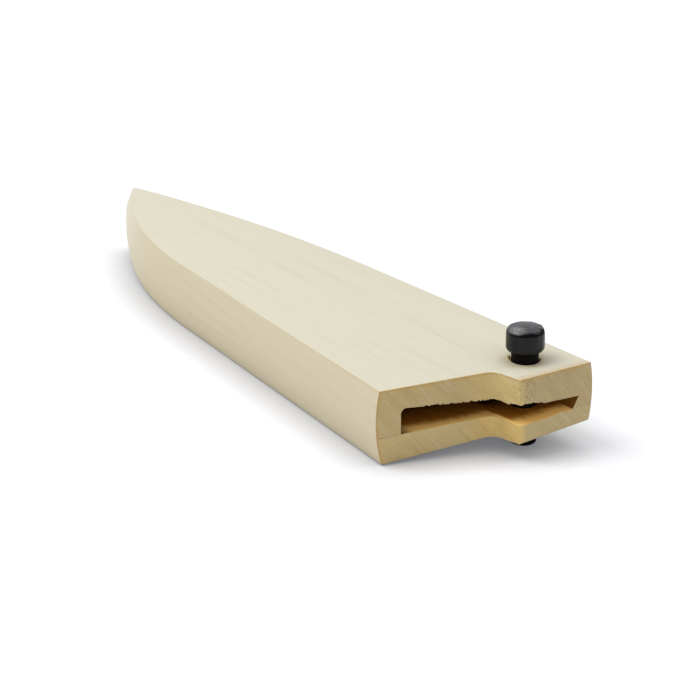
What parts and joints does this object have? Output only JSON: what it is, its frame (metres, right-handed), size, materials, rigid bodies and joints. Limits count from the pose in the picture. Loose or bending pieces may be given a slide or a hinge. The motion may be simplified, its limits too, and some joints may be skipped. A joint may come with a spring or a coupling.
{
  "type": "knife blade sheath",
  "caption": "Pale wooden slip-on sheath for a kitchen knife blade, stepped at the mouth, with a wedge-shaped blade slot and a black push-in locking pin across its ear.",
  "frame": {"origin": "on the glue line, at the ear's front face, half way across the sheath's width: the middle of the blade slot's mouth", "axes": "+X along the length towards the point, +Y towards the side of the blade's spine, +Z towards the side of the pin's head"},
  "size_m": [0.154, 0.0462, 0.0253],
  "materials": {
    "pale_wood": "fine-sanded, no varnish",
    "pale_wood_back": "fine-sanded, no varnish",
    "black_wood": "rubbed to a satin shine"
  },
  "bodies": {
    "sheath": {"upper_half": "pale_wood", "lower_half": "pale_wood_back"},
    "pin": {"locking_pin": "black_wood"}
  },
  "joints": [
    {"name": "pin_slide", "type": "slide", "parent": "sheath", "child": "pin", "axis": [0, 0, 1], "range_m": [-0.0019, 0.024]}
  ]
}
